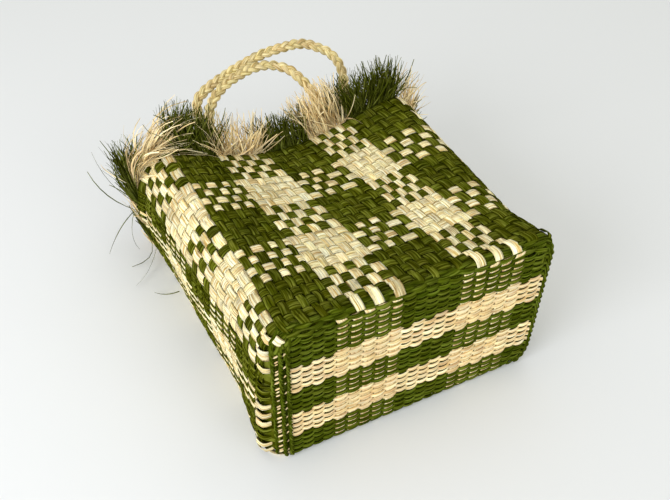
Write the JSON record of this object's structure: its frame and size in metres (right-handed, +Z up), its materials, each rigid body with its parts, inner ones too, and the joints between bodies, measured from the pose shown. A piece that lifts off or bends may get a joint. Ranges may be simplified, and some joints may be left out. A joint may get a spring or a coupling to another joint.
{
  "type": "woven palm-fibre tote handbag",
  "caption": "Open-topped tote bag plaited from natural and green palm fibre, lying on its back panel, with a fringed mouth and rope handles, for carrying small things.",
  "frame": {"origin": "middle of the bounding box's bottom, on the surface that the bag lies on", "axes": "+Z up from the surface, +Y along the bag from its base to its mouth and handles, +X to the right across its front panel, seen from above with the base nearest"},
  "size_m": [0.3956, 0.415, 0.1641],
  "materials": {
    "wall_weave": "matt plaited palm fibre in green and natural checks",
    "base_weave": "matt close-woven palm fibre in green and natural stripes",
    "green_cord": "matt green palm-fibre cord",
    "natural_rope": "matt natural palm-fibre plait",
    "natural_fringe": "matt natural loose palm fibre",
    "green_fringe": "matt green loose palm fibre"
  },
  "bodies": {
    "root": {"woven_wall": "wall_weave", "woven_base": "base_weave", "base_cord_left_outer": "green_cord", "base_cord_left_inner": "green_cord", "base_cord_right_outer": "green_cord", "base_cord_right_inner": "green_cord", "handle_front": "natural_rope", "handle_back": "natural_rope", "fringe_left_corner": "natural_fringe", "fringe_front_green_1": "green_fringe", "fringe_front_natural_1": "natural_fringe", "fringe_front_green_2": "green_fringe", "fringe_front_natural_2": "natural_fringe", "fringe_front_green_3": "green_fringe", "fringe_right_natural_1": "natural_fringe", "fringe_right_green_1": "green_fringe", "fringe_right_natural_2": "natural_fringe", "fringe_right_green_2": "green_fringe", "fringe_right_corner": "natural_fringe", "fringe_back_green_1": "green_fringe", "fringe_back_natural_1": "natural_fringe", "fringe_back_green_2": "green_fringe", "fringe_back_natural_2": "natural_fringe", "fringe_back_green_3": "green_fringe", "fringe_back_corner": "natural_fringe", "fringe_left_green_1": "green_fringe", "fringe_left_natural": "natural_fringe", "fringe_left_green_2": "green_fringe"}
  },
  "joints": []
}
